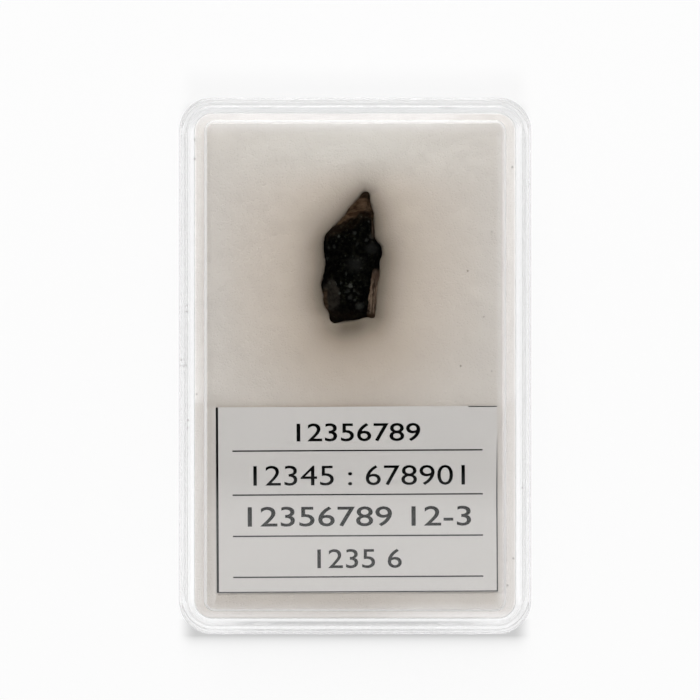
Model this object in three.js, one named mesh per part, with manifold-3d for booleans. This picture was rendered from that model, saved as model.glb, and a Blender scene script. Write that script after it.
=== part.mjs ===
// A chondrite meteorite fragment in a small clear specimen box.
//
// A clear tray holds a soft foam pad. The stone is pressed into the pad, a paper label lies on it, and a
// clear lid with a raised panel is slid down over the tray's upper wall until its skirt meets the ledge.
//
// Millimetres, +Z up. The origin is the middle of the box's underside, +Y is the box's long way and points
// from the label to the stone.

import * as THREE from 'three';
import { mergeVertices } from 'three/addons/utils/BufferGeometryUtils.js';
import Module from 'manifold-3d';

const wasm = await Module();
wasm.setup();

// ---------------------------------------------------------------- driving dimensions

const BOX_WIDTH = 42;
const BOX_LENGTH = 64;
const BOX_HEIGHT = 16;
const BOX_CORNER = 4;

const WALL = 0.8;
const FLOOR = 1.1;
const EDGE_BREAK = 0.3;
const LEDGE_HEIGHT = 8.9;
const TRAY_RIM_HEIGHT = 14.45;

const SKIRT = 0.88;
const SKIRT_CLEARANCE = 0.12;
const SEAT_CLEARANCE = 0.1;
const PANEL_THICKNESS = 1.0;
const PANEL_RISE = 0.4;
const PANEL_INSET = 2.95;
const PANEL_NARROWER = 0.25;
const PANEL_CORNER = 1.1;
const PANEL_DRAFT = 0.3;
const PANEL_STEP_OFFSET = -0.1;
const PANEL_STEP_DRAFT = 0.12;

const NUB_SPACING = 22;
const NUB_RADIUS = 1.1;
const NUB_PROUD = 0.08;
const NUB_THROUGH = 0.3;
const NUB_DROP = 2.4;

const PAD_CLEARANCE = 0.1;
const PAD_TOP = 14.3;
const PAD_EDGE = 0.4;
const DENT_DEPTH = 1.2;
const DENT_REACH = 2.4;
const POCKET_CLEARANCE = 0.3;

const LABEL_WIDTH = 33.7;
const LABEL_HEIGHT = 22.2;
const LABEL_THICKNESS = 0.2;
const LABEL_MIDDLE = [0.2, -16.0];
const LABEL_BOTTOM = 14.35;
const LABEL_TURN_DEGREES = 0.32;

// The stone: its outline from above, walked anticlockwise from the pointed end, and its levels.
const STONE_MIDDLE = [-0.4, 12.2];
const STONE_OUTLINE = [
  [1.7, 20.7], [1.3, 20.9], [0.85, 20.75], [0.35, 20.1], [-0.8, 18.8], [-1.48, 17.8], [-2.85, 16.48],
  [-3.7, 15.25], [-3.8, 13.8], [-3.6, 12.2], [-3.8, 10.95], [-4.1, 9.45], [-3.85, 8.65],
  [-3.75, 7.3], [-3.25, 6.3], [-3.0, 5.4], [-2.5, 5.1], [-1.2, 5.35], [0.45, 5.6],
  [1.4, 5.8], [2.3, 5.65], [2.55, 6.95], [2.68, 9.2], [3.05, 11.2], [3.0, 12.35],
  [3.35, 13.3], [3.25, 14.3], [2.5, 15.25], [2.3, 16.6], [2.3, 18.2], [1.85, 19.4],
];
const STONE_RIM_LEVEL = 12.8;
const STONE_RISE = 2.05;
const STONE_DROP = 3.8;
const SHOULDER_ROUNDING = 0.42;
const BELLY_ROUNDING = 0.7;

// Flat broken faces of the stone, each a point on the face and the way it looks.
const STONE_FACES = [
  { point: [-0.2, 18.15, 14.85], normal: [-0.36, 0.6, 0.72] },
  { point: [2.2, 17.2, 13.9], normal: [0.8, 0.15, 0.47] },
  { point: [1.85, 9.0, 14.3], normal: [0.8, -0.05, 0.6] },
  { point: [-2.9, 8.4, 14.2], normal: [-0.55, -0.3, 0.78] },
  { point: [-2.9, 15.8, 14.1], normal: [-0.6, 0.42, 0.68] },
  { point: [-0.6, 6.1, 14.3], normal: [0.18, -0.8, 0.57] },
  { point: [-1.2, 13.0, 14.7], normal: [-0.03, 0.02, 1.0] },
];

// Lumps and, where the rise is negative, pits on the stone's upper side.
const STONE_LUMPS = [
  { middle: [2.45, 13.75], radius: 1.15, rise: 0.9 },
  { middle: [0.52, 7.06], radius: 0.55, rise: 0.25 },
  { middle: [-2.7, 9.6], radius: 0.9, rise: 0.35 },
  { middle: [-1.9, 8.7], radius: 0.6, rise: 0.22 },
  { middle: [-2.0, 15.4], radius: 0.6, rise: 0.25 },
  { middle: [1.35, 15.0], radius: 0.65, rise: 0.2 },
  { middle: [0.1, 12.2], radius: 1.1, rise: 0.15 },
  { middle: [-0.6, 8.25], radius: 0.7, rise: 0.15 },
  { middle: [-1.2, 13.6], radius: 0.9, rise: -0.25 },
  { middle: [-3.0, 11.9], radius: 1.0, rise: -0.45 },
  { middle: [1.3, 8.3], radius: 0.7, rise: -0.2 },
  { middle: [-0.7, 10.3], radius: 0.8, rise: -0.2 },
];

// ---------------------------------------------------------------- mesh fineness

const CORNER_STEPS = 7;
const PAD_CORNER_STEPS = 3;
const PAD_SIDE_STEP = 2.2;
const PAD_RINGS = 9;
const STONE_STEPS = 84;
const STONE_TOP_RINGS = 13;
const STONE_LOWER_RINGS = 7;

// ---------------------------------------------------------------- finishes

const clearPlastic = (color) => new THREE.MeshStandardMaterial({
  color,
  roughness: 0.05,
  metalness: 0,
  transparent: true,
  opacity: 0.25,
});
const trayPlastic = clearPlastic(0xe9ecec);
const lidPlastic = clearPlastic(0xf0f2f2);
const foam = new THREE.MeshStandardMaterial({ color: 0xe9e5df, roughness: 0.95, metalness: 0 });
const paper = new THREE.MeshStandardMaterial({ color: 0xf1f0ed, roughness: 0.8, metalness: 0 });
const blackStone = new THREE.MeshStandardMaterial({ color: 0x1b1917, roughness: 0.85, metalness: 0 });

// ---------------------------------------------------------------- shared geometry

// A closed body from rings of points that all have the same count: the first and the last ring are closed
// by a fan to their own middle point, and each ring is joined to the next by a band of triangles.
function solidFromRings(rings, firstMiddle, lastMiddle) {
  const count = rings[0].length;
  const positions = [firstMiddle, ...rings.flat(), lastMiddle].flat();
  const last = rings.length * count + 1;
  const corner = (ring, step) => 1 + ring * count + (step % count);
  const index = [];
  for (let step = 0; step < count; step += 1) {
    index.push(0, corner(0, step), corner(0, step + 1));
    index.push(last, corner(rings.length - 1, step + 1), corner(rings.length - 1, step));
  }
  for (let ring = 0; ring + 1 < rings.length; ring += 1) {
    for (let step = 0; step < count; step += 1) {
      const here = corner(ring, step);
      const next = corner(ring, step + 1);
      const below = corner(ring + 1, step);
      const belowNext = corner(ring + 1, step + 1);
      index.push(here, below, next);
      index.push(next, below, belowNext);
    }
  }
  const geometry = new THREE.BufferGeometry();
  geometry.setAttribute('position', new THREE.Float32BufferAttribute(positions, 3));
  geometry.setIndex(index);
  return geometry;
}

// The box's rounded rectangle, drawn inset from its outer outline, anticlockwise seen from above. Its long
// sides can be drawn in a little further.
function outlineRing({ inset, z, radius = BOX_CORNER - inset, narrower = 0 }, cornerSteps = CORNER_STEPS) {
  const reachX = BOX_WIDTH / 2 - inset - narrower - radius;
  const reachY = BOX_LENGTH / 2 - inset - radius;
  const corners = [[1, 1], [-1, 1], [-1, -1], [1, -1]];
  return corners.flatMap(([sideX, sideY], quarter) => {
    const points = [];
    for (let step = 0; step <= cornerSteps; step += 1) {
      const angle = (quarter + step / cornerSteps) * (Math.PI / 2);
      const x = sideX * reachX + radius * Math.cos(angle);
      const y = sideY * reachY + radius * Math.sin(angle);
      points.push([x, y, z]);
    }
    return points;
  });
}

// A moulding whose section is carried round the box's outline. The section starts and ends on the axis.
function mouldedShell(section) {
  const rings = section.map((corner) => outlineRing(corner));
  const firstMiddle = [0, 0, section[0].z];
  const lastMiddle = [0, 0, section[section.length - 1].z];
  return solidFromRings(rings, firstMiddle, lastMiddle);
}

function toManifold(geometry) {
  const bare = geometry.clone();
  bare.deleteAttribute('normal');
  bare.deleteAttribute('uv');
  const merged = mergeVertices(bare, 1e-5);
  return new wasm.Manifold(new wasm.Mesh({
    numProp: 3,
    vertProperties: new Float32Array(merged.attributes.position.array),
    triVerts: new Uint32Array(merged.index.array),
  }));
}

function toGeometry(manifold) {
  const mesh = manifold.getMesh();
  const geometry = new THREE.BufferGeometry();
  geometry.setAttribute('position', new THREE.BufferAttribute(mesh.vertProperties, 3));
  geometry.setIndex(new THREE.BufferAttribute(mesh.triVerts, 1));
  return geometry;
}

function namedMesh(name, geometry, material) {
  const mesh = new THREE.Mesh(geometry, material);
  mesh.name = name;
  return mesh;
}

// ---------------------------------------------------------------- the stone's form

const stoneCurve = new THREE.CatmullRomCurve3(
  STONE_OUTLINE.map(([x, y]) => new THREE.Vector3(x, y, 0)),
  true,
  'centripetal',
);
const OUTLINE_SAMPLES = 720;
const stoneBearings = stoneCurve.getPoints(OUTLINE_SAMPLES)
  .slice(0, OUTLINE_SAMPLES)
  .map((point) => {
    const x = point.x - STONE_MIDDLE[0];
    const y = point.y - STONE_MIDDLE[1];
    return { angle: Math.atan2(y, x), radius: Math.hypot(x, y) };
  })
  .sort((first, second) => first.angle - second.angle);

// How far the stone's outline is from its middle, along a bearing: linear between the outline's samples.
function stoneReach(angle) {
  const found = stoneBearings.findIndex((bearing) => bearing.angle > angle);
  const after = found < 0 ? 0 : found;
  const before = (after + OUTLINE_SAMPLES - 1) % OUTLINE_SAMPLES;
  const fullTurn = 2 * Math.PI;
  const from = stoneBearings[before];
  const to = stoneBearings[after];
  const span = (to.angle - from.angle + fullTurn) % fullTurn;
  const share = span > 0 ? ((angle - from.angle + fullTurn) % fullTurn) / span : 0;
  return from.radius + (to.radius - from.radius) * share;
}

// Presses a point that stands proud of a broken face back onto it.
function pressOnFaces(point, grow) {
  const pressed = point.clone();
  for (const face of STONE_FACES) {
    const normal = new THREE.Vector3(...face.normal).normalize();
    const origin = new THREE.Vector3(...face.point).addScaledVector(normal, grow);
    const proud = pressed.clone().sub(origin).dot(normal);
    if (proud > 0) {
      pressed.addScaledVector(normal, -proud);
    }
  }
  return pressed;
}

// How much the lumps and pits raise the stone's upper side at a place: each is a smooth round swelling.
function lumpRise(x, y) {
  let rise = 0;
  for (const lump of STONE_LUMPS) {
    const apart = Math.hypot(x - lump.middle[0], y - lump.middle[1]) / lump.radius;
    rise += lump.rise * Math.max(0, 1 - apart ** 2) ** 2;
  }
  return rise;
}

// The stone's surface at a bearing and a latitude: -90 degrees is its lowest point, 0 its outline from
// above and +90 its highest. The outline shrinks to the middle as a power of the latitude's cosine, the
// height grows as a power of its sine, and the broken faces then cut the upper side flat.
function stonePoint(angle, latitude, grow) {
  const upper = latitude >= 0;
  const rounding = upper ? SHOULDER_ROUNDING : BELLY_ROUNDING;
  const reach = (stoneReach(angle) + grow) * Math.cos(latitude) ** rounding;
  const lift = Math.abs(Math.sin(latitude)) ** (upper ? 1 : rounding);
  const x = STONE_MIDDLE[0] + reach * Math.cos(angle);
  const y = STONE_MIDDLE[1] + reach * Math.sin(angle);
  const height = upper ? (STONE_RISE + grow) * lift : -(STONE_DROP + grow) * lift;
  const pressed = pressOnFaces(new THREE.Vector3(x, y, STONE_RIM_LEVEL + height), grow);
  if (upper) {
    pressed.z += lift * lumpRise(pressed.x, pressed.y);
  }
  return pressed.toArray();
}

function stoneRing(latitude, angles, grow) {
  return angles.map((angle) => stonePoint(angle, latitude, grow));
}

function makeStone() {
  const angles = Array.from({ length: STONE_STEPS }, (_, step) => (
    -Math.PI + (step + 0.5) * ((2 * Math.PI) / STONE_STEPS)
  ));
  const quarterTurn = Math.PI / 2;
  const rings = [];
  for (let ring = STONE_TOP_RINGS - 1; ring >= 0; ring -= 1) {
    rings.push(stoneRing((ring / STONE_TOP_RINGS) * quarterTurn, angles, 0));
  }
  for (let ring = 1; ring < STONE_LOWER_RINGS; ring += 1) {
    rings.push(stoneRing((-ring / STONE_LOWER_RINGS) * quarterTurn, angles, 0));
  }
  const top = stonePoint(0, quarterTurn, 0);
  const bottom = stonePoint(0, -quarterTurn, 0);
  return solidFromRings(rings, top, bottom);
}

// ---------------------------------------------------------------- the clear box

function makeTray() {
  const upperInset = SKIRT + SKIRT_CLEARANCE;
  const cavityInset = upperInset + WALL;
  const shell = mouldedShell([
    { inset: cavityInset + EDGE_BREAK, z: FLOOR },
    { inset: cavityInset, z: FLOOR + EDGE_BREAK },
    { inset: cavityInset, z: TRAY_RIM_HEIGHT },
    { inset: upperInset + EDGE_BREAK / 3, z: TRAY_RIM_HEIGHT },
    { inset: upperInset, z: TRAY_RIM_HEIGHT - EDGE_BREAK / 3 },
    { inset: upperInset, z: LEDGE_HEIGHT },
    { inset: 0, z: LEDGE_HEIGHT },
    { inset: 0, z: EDGE_BREAK },
    { inset: EDGE_BREAK, z: 0 },
  ]);
  let tray = toManifold(shell);
  for (const end of [-1, 1]) {
    for (const side of [-1, 1]) {
      tray = tray.add(toManifold(makeNub(end, side, upperInset)));
    }
  }
  return toGeometry(tray);
}

// A low round nub on the tray's upper wall that grips the lid's skirt.
function makeNub(end, side, upperInset) {
  const nub = new THREE.CylinderGeometry(NUB_RADIUS * 0.6, NUB_RADIUS, NUB_PROUD + NUB_THROUGH, 12);
  nub.rotateX(end > 0 ? 0 : Math.PI);
  const wallFace = BOX_LENGTH / 2 - upperInset;
  const middle = wallFace + (NUB_PROUD - NUB_THROUGH) / 2;
  nub.translate(side * (NUB_SPACING / 2), end * middle, TRAY_RIM_HEIGHT - NUB_DROP);
  return nub;
}

function makeLid() {
  const rimHeight = BOX_HEIGHT - PANEL_RISE;
  const innerStep = PANEL_INSET + PANEL_STEP_OFFSET;
  const skirtBottom = LEDGE_HEIGHT + SEAT_CLEARANCE;
  const panelShape = { radius: PANEL_CORNER, narrower: PANEL_NARROWER };
  return mouldedShell([
    { inset: PANEL_INSET + PANEL_DRAFT / 2, z: BOX_HEIGHT, ...panelShape },
    { inset: PANEL_INSET - PANEL_DRAFT / 2, z: rimHeight, ...panelShape },
    { inset: EDGE_BREAK, z: rimHeight },
    { inset: EDGE_BREAK / 4, z: rimHeight - EDGE_BREAK / 4 },
    { inset: 0, z: rimHeight - EDGE_BREAK },
    { inset: 0, z: skirtBottom },
    { inset: SKIRT, z: skirtBottom },
    { inset: SKIRT, z: rimHeight - PANEL_THICKNESS },
    { inset: innerStep, z: rimHeight - PANEL_THICKNESS, ...panelShape },
    { inset: innerStep + PANEL_STEP_DRAFT, z: BOX_HEIGHT - PANEL_THICKNESS, ...panelShape },
  ]);
}

// ---------------------------------------------------------------- the pad and the label

// The pad's level at a place: flat, with a dent that fades with the distance from the stone.
function padLevel(x, y, level) {
  const offsetX = x - STONE_MIDDLE[0];
  const offsetY = y - STONE_MIDDLE[1];
  const reach = stoneReach(Math.atan2(offsetY, offsetX)) + POCKET_CLEARANCE;
  const distance = Math.max(0, Math.hypot(offsetX, offsetY) - reach);
  return level - DENT_DEPTH * Math.exp(-distance / DENT_REACH);
}

// The pad's outer outline with extra points along its straight sides.
function padOutline(inset) {
  const coarse = outlineRing({ inset, z: 0 }, PAD_CORNER_STEPS);
  return coarse.flatMap((point, place) => {
    const next = coarse[(place + 1) % coarse.length];
    const length = Math.hypot(next[0] - point[0], next[1] - point[1]);
    const parts = Math.max(1, Math.round(length / PAD_SIDE_STEP));
    return Array.from({ length: parts }, (_, part) => [
      point[0] + (next[0] - point[0]) * (part / parts),
      point[1] + (next[1] - point[1]) * (part / parts),
    ]);
  });
}

// The pad is one surface of rings: across its underside, up its side, over its rounded edge, in across
// its top to the stone's outline, and down into the pocket that the stone sits in.
function makePad() {
  const inset = SKIRT + SKIRT_CLEARANCE + WALL + PAD_CLEARANCE;
  const bottom = FLOOR + EDGE_BREAK + PAD_CLEARANCE;
  const outer = padOutline(inset);
  const shoulder = padOutline(inset + PAD_EDGE * 0.3);
  const brow = padOutline(inset + PAD_EDGE);
  const angles = brow.map(([x, y]) => Math.atan2(y - STONE_MIDDLE[1], x - STONE_MIDDLE[0]));
  const rings = [];
  const quarterTurn = Math.PI / 2;
  for (let ring = STONE_LOWER_RINGS - 1; ring >= 1; ring -= 1) {
    rings.push(stoneRing((-ring / STONE_LOWER_RINGS) * quarterTurn, angles, POCKET_CLEARANCE));
  }
  for (let ring = 0; ring <= PAD_RINGS; ring += 1) {
    rings.push(padTopRing(brow, angles, (ring / PAD_RINGS) ** 1.8));
  }
  rings.push(shoulder.map(([x, y]) => [x, y, PAD_TOP - PAD_EDGE * 0.3]));
  rings.push(outer.map(([x, y]) => [x, y, PAD_TOP - PAD_EDGE]));
  rings.push(outer.map(([x, y]) => [x, y, bottom]));
  const pocketFloor = stonePoint(0, -quarterTurn, POCKET_CLEARANCE);
  return solidFromRings(rings, pocketFloor, [STONE_MIDDLE[0], STONE_MIDDLE[1], bottom]);
}

// One ring of the pad's top, a share of the way out from the stone's pocket to the pad's brow.
function padTopRing(brow, angles, share) {
  return brow.map(([browX, browY], place) => {
    const reach = stoneReach(angles[place]) + POCKET_CLEARANCE;
    const innerX = STONE_MIDDLE[0] + reach * Math.cos(angles[place]);
    const innerY = STONE_MIDDLE[1] + reach * Math.sin(angles[place]);
    const x = innerX + (browX - innerX) * share;
    const y = innerY + (browY - innerY) * share;
    return [x, y, padLevel(x, y, PAD_TOP)];
  });
}

function makeLabel() {
  const card = new THREE.BoxGeometry(LABEL_WIDTH, LABEL_HEIGHT, LABEL_THICKNESS);
  card.rotateZ(THREE.MathUtils.degToRad(LABEL_TURN_DEGREES));
  card.translate(LABEL_MIDDLE[0], LABEL_MIDDLE[1], LABEL_BOTTOM + LABEL_THICKNESS / 2);
  return card;
}

// ---------------------------------------------------------------- the assembly

const specimenBox = new THREE.Group();
specimenBox.name = 'boxed_chondrite';
specimenBox.add(
  namedMesh('base_tray', makeTray(), trayPlastic),
  namedMesh('case_lid', makeLid(), lidPlastic),
  namedMesh('foam_pad', makePad(), foam),
  namedMesh('label_card', makeLabel(), paper),
  namedMesh('meteorite', makeStone(), blackStone),
);

export default specimenBox;
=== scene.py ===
"""A chondrite meteorite fragment pressed into a foam pad in its clear specimen box.

Sizes in the functions below are millimetres in the part's own frame: +Y points from the label to the
stone, +Z up through the lid, and the origin is the middle of the box's underside. Meshes are in metres.
"""
import math
from functools import partialmethod

import bpy
import numpy as np
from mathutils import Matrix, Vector
from mathutils.geometry import delaunay_2d_cdt


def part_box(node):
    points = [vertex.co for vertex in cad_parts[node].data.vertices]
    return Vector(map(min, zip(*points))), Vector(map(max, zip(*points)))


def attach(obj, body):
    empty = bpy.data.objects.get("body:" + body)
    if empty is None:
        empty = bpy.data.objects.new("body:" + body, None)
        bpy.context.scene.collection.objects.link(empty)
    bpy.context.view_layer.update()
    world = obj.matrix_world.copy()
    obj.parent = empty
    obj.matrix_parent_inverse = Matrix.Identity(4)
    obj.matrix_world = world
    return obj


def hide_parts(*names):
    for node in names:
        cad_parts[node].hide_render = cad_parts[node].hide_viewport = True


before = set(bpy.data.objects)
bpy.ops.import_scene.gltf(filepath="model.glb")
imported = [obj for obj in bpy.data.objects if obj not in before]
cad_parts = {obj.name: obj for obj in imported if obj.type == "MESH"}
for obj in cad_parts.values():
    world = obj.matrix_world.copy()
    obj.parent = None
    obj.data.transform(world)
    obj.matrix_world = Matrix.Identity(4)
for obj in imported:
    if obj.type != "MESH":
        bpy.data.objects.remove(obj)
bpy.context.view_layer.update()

MM = 0.001
WHITE = (1.0, 1.0, 1.0)


def node_box(node):
    """The lowest and highest corner of a construction node, in millimetres."""
    low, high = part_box(node)
    return np.array(low) / MM, np.array(high) / MM


TRAY_HIGH = node_box("base_tray")[1]
LID_LOW, LID_HIGH = node_box("case_lid")
PAD_LOW, PAD_HIGH = node_box("foam_pad")
LABEL_LOW, LABEL_HIGH = node_box("label_card")

# ---------------- the case's sizes

HALF_WIDTH = TRAY_HIGH[0]
HALF_LENGTH = TRAY_HIGH[1]
CASE_CORNER = 4.0
LEAST_CORNER = 0.6
CORNER_STEPS = 20
SIDE_STEPS = (96, 60)
# How far the last ring of a flat face is inside the outline, before the fan that closes the face.
FAN_INSET = 8.0
EDGE_ROUND = 0.3
CREASE = 0.08

SEAT_GAP = 0.1
LEDGE = LID_LOW[2] - SEAT_GAP
SKIRT = 0.88
SKIRT_ROOT_ROUND = 0.15
WALL_OUTSIDE = 1.0
WALL_TOP_ROUND = 0.12
WALL_TOP_INNER_ROUND = 0.05
WALL_ROWS = 28
CAVITY_INSET = 1.8
CAVITY_ROUND = 0.5
TRAY_FLOOR = 1.1

PANEL_INSET = 2.95
PANEL_NARROWER = 0.25
PANEL_RISE = 0.4
PANEL_THICKNESS = 1.0
PANEL_DRAFT = 0.3
PANEL_ROUND = 0.1
# The step on the panel's underside: how far outside the upper one it is, and how far it leans.
INNER_STEP_OUT = 0.1
INNER_STEP_DRAFT = 0.12

# The four low domes on the tray's upper wall: place from the middle, drop below the rim, radius and height.
NUB_X = 11.0
NUB_DROP = 2.4
NUB_RADIUS = 1.1
NUB_PROUD = 0.08

# ---------------- the stone's form

STONE_MIDDLE = np.array([-0.4, 12.2])
STONE_OUTLINE = np.array([
    [1.7, 20.7], [1.3, 20.9], [0.85, 20.75], [0.35, 20.1], [-0.8, 18.8], [-1.48, 17.8], [-2.85, 16.48],
    [-3.7, 15.25], [-3.8, 13.8], [-3.6, 12.2], [-3.8, 10.95], [-4.1, 9.45], [-3.85, 8.65],
    [-3.75, 7.3], [-3.25, 6.3], [-3.0, 5.4], [-2.5, 5.1], [-1.2, 5.35], [0.45, 5.6],
    [1.4, 5.8], [2.3, 5.65], [2.55, 6.95], [2.68, 9.2], [3.05, 11.2], [3.0, 12.35],
    [3.35, 13.3], [3.25, 14.3], [2.5, 15.25], [2.3, 16.6], [2.3, 18.2], [1.85, 19.4],
])
STONE_STEPS = 380
STONE_RINGS = (130, 90)
OUTLINE_SPAN_STEPS = 30
STONE_RIM_LEVEL = 12.8
STONE_RISE = 2.05
STONE_DROP = 3.8
STONE_CEILING = 14.97
CEILING_ROOM = 0.17
SHOULDER_ROUNDING = 0.42
BELLY_ROUNDING = 0.7
WAVE_SIZE, WAVE_HEIGHT = 1.6, 0.09
GRAIN_SIZE, GRAIN_HEIGHT = 0.42, 0.06
ROUGHNESS_SUNK = 0.03
# Flat broken faces: a point on each, and the way it looks.
STONE_FACES = [
    ((-0.2, 18.15, 14.85), (-0.36, 0.6, 0.72)),
    ((2.2, 17.2, 13.9), (0.8, 0.15, 0.47)),
    ((1.85, 9.0, 14.3), (0.8, -0.05, 0.6)),
    ((-2.9, 8.4, 14.2), (-0.55, -0.3, 0.78)),
    ((-2.9, 15.8, 14.1), (-0.6, 0.42, 0.68)),
    ((-0.6, 6.1, 14.3), (0.18, -0.8, 0.57)),
    ((-1.2, 13.0, 14.7), (-0.03, 0.02, 1.0)),
]
# Lumps, and pits where the rise is negative: middle x and y, radius, rise.
STONE_LUMPS = [
    (2.45, 13.75, 1.15, 0.9), (0.52, 7.06, 0.55, 0.25), (-2.7, 9.6, 0.9, 0.35),
    (-1.9, 8.7, 0.6, 0.22), (-2.0, 15.4, 0.6, 0.25), (1.35, 15.0, 0.65, 0.2),
    (0.1, 12.2, 1.1, 0.15), (-0.6, 8.25, 0.7, 0.15), (-1.2, 13.6, 0.9, -0.25),
    (-3.0, 11.9, 1.0, -0.45), (1.3, 8.3, 0.7, -0.2), (-0.7, 10.3, 0.8, -0.2),
]
# Paler chondrules and grains on the stone's upper side: middle x and y, radius, paleness from 0 to 1.
# The one at -1.9, 8.66 is a painted highlight, a glint on a chip.
STONE_GRAINS = [
    (0.58, 7.09, 0.5, 0.5), (2.05, 14.0, 0.8, 0.2), (0.0, 12.1, 1.0, 0.18), (-1.98, 15.5, 0.2, 0.6),
    (0.0, 15.9, 0.22, 0.35), (1.36, 15.0, 0.2, 0.45), (2.0, 15.45, 0.3, 0.45), (-0.55, 9.55, 0.2, 0.75),
    (-1.9, 8.66, 0.14, 0.85), (-3.1, 9.85, 0.22, 0.8), (-2.4, 9.9, 0.18, 0.5), (-2.47, 7.3, 0.12, 1.0),
    (-0.6, 8.2, 0.3, 0.3), (0.0, 7.8, 0.2, 0.4), (-0.13, 8.9, 0.2, 0.28), (0.76, 11.6, 0.14, 0.45),
    (-1.1, 11.0, 0.15, 0.35), (-1.14, 13.2, 0.12, 0.4), (0.23, 14.4, 0.25, 0.3), (-2.5, 14.25, 0.2, 0.3),
    (-3.2, 14.1, 0.2, 0.3), (-3.3, 12.8, 0.25, 0.28), (0.35, 8.66, 0.2, 0.25), (1.6, 17.2, 0.09, 1.0),
    (0.7, 17.9, 0.07, 0.8), (-2.5, 5.9, 0.1, 0.6), (1.1, 12.9, 0.3, 0.08), (-0.9, 9.0, 0.25, 0.2),
    (-2.2, 9.75, 0.1, 0.7), (-2.95, 9.4, 0.1, 0.7), (-2.35, 8.3, 0.12, 0.35), (-1.6, 9.9, 0.12, 0.3),
]

# ---------------- the pad's form

PAD_SWELL = 0.08
PAD_HALF_WIDTH = PAD_HIGH[0] + PAD_SWELL
PAD_HALF_LENGTH = PAD_HIGH[1] + PAD_SWELL
PAD_EDGE = 0.03
PAD_CORNER = 2.18
PAD_STEP = 0.2
PAD_END_STEPS = 12
PAD_SIDE_LEVELS = 35
DENT_DEPTH = 1.2
DENT_REACH = 2.4
POCKET_SLOPE = 3.0
POCKET_DEPTH = STONE_DROP + 0.2
# The foam's waves: their size and height on the top, and on the sides, which are drawn in a little.
TOP_WAVE_SIZE, TOP_WAVE_HEIGHT = 3.2, 0.09
SIDE_WAVE_SIZE, SIDE_WAVE_HEIGHT = 2.6, 0.05
SIDE_DRAWN_IN = 0.1
# How far towards the label the stain with its painted shadow, and the painted contact shade near the stone,
# are moved.
STAIN_AND_SHADOW_SHIFT = 1.3
CONTACT_SHADE_SHIFT = 0.8
# Small dark specks on the pad: middle x and y, radius.
FOAM_SPECKS = [
    (12.63, -0.03, 0.14), (13.47, 11.34, 0.13), (15.38, 5.84, 0.1), (16.34, 16.01, 0.09),
    (16.34, -0.64, 0.09), (10.84, 15.06, 0.08), (-12.17, 4.64, 0.07),
]
# Dust and nicks on the lid's rim: middle x and y, radius.
LID_DUST = [
    (-20.45, 0.0, 0.2), (-20.69, 0.69, 0.15), (-19.97, -6.5, 0.14), (-19.99, -7.4, 0.12),
    (-20.09, 6.45, 0.13), (-20.09, 7.2, 0.12), (-19.14, 27.0, 0.14), (-19.14, 24.7, 0.16),
    (-18.9, -3.4, 0.12), (19.95, -14.57, 0.13), (18.88, -23.0, 0.14), (18.76, 23.7, 0.14),
    (20.78, 21.66, 0.12), (18.2, -26.2, 0.13),
]

# ---------------- the label's print

LABEL_MIDDLE = (LABEL_LOW + LABEL_HIGH) / 2
LABEL_WIDTH = 33.7
LABEL_HEIGHT = 22.2
LABEL_TURN = math.radians(0.32)
LABEL_THICKNESS = 0.12
LABEL_LIFT = 0.14
# How many points along and across let the sheet bend.
LABEL_BENDS = (36, 24)
LEFT_MARGIN, RIGHT_MARGIN, BOTTOM_MARGIN = 0.05, 0.04, 0.03
LEFT_BORDER_WIDTH = 0.28
RIGHT_BORDER_WIDTH = 0.14
BOTTOM_BORDER_WIDTH = 0.13
# The bit of a border along the top that starts at the right corner.
TOP_BORDER_LENGTH, TOP_BORDER_WIDTH = 3.4, 0.1
# How far below the sheet's top the right border starts to thin, and where it ends.
BORDER_THINS, BORDER_ENDS = 11.0, 3.5
RULE_WIDTH = 0.17
RULE_MIDDLE = 0.12
RULE_HALF_LENGTH = 14.95
RULE_LEVELS = (5.87, 0.61, -4.32, -9.22)
# Rows of plain numbers: what is printed, its middle, its width and height, and how much its strokes swell.
NUMBER_ROWS = (
    ("12356789", 0.25, 8.05, 14.8, 2.2, 0.008),
    ("12345 : 678901", 0.3, 2.9, 25.3, 2.4, 0.0),
    ("12356789 12-3", 0.3, -2.0, 26.7, 2.4, 0.006),
    ("1235 6", 0.3, -7.05, 10.1, 2.3, 0.004),
)


# ---------------- shared mesh making

def linked_object(name, data):
    """A new object in the scene, at the origin, that holds a mesh, a curve, a camera or a lamp."""
    made = bpy.data.objects.new(name, data)
    bpy.context.scene.collection.objects.link(made)
    return made


def make_piece(name, points, faces, materials):
    """A smooth-shaded mesh object at the origin, from points in millimetres and lists of faces."""
    mesh = bpy.data.meshes.new(name)
    mesh.from_pydata(np.asarray(points) * MM, [], faces)
    mesh.shade_smooth()
    mesh.validate()
    for material in materials:
        mesh.materials.append(material)
    return linked_object(name, mesh)


def add_attributes(piece, **shares):
    """Stores one number a point under each of the names that the piece's material reads."""
    for name, values in shares.items():
        attribute = piece.data.attributes.new(name, "FLOAT", "POINT")
        attribute.data.foreach_set("value", np.asarray(values, dtype=np.float32))


def ring_bands(rings):
    """The four-sided faces that join each row of point numbers to the next, all the way round."""
    ahead = np.roll(rings, -1, axis=1)
    return np.stack([rings[:-1], rings[1:], ahead[1:], ahead[:-1]], axis=-1).reshape(-1, 4).tolist()


def ring_fan(ring, middle, turned=False):
    """The triangles that join a ring of point numbers to its middle point, and can be turned over."""
    here, ahead = ring, np.roll(ring, -1)
    if turned:
        here, ahead = ahead, here
    return np.stack([np.full(len(ring), middle), here, ahead], axis=-1).tolist()


def joined_rings(grid, first_middle, last_middle):
    """Points and faces of a closed surface on a grid of rings.

    Each row of the grid is one ring, joined to the next row by a band of four-sided faces, and the ends
    are closed by fans to their middle points.
    """
    rows, steps = grid.shape[:2]
    rings = np.arange(rows * steps).reshape(rows, steps)
    points = np.concatenate([grid.reshape(-1, 3), [first_middle], [last_middle]])
    fans = ring_fan(rings[0], rings.size) + ring_fan(rings[-1], rings.size + 1, turned=True)
    return points, ring_bands(rings) + fans


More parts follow.
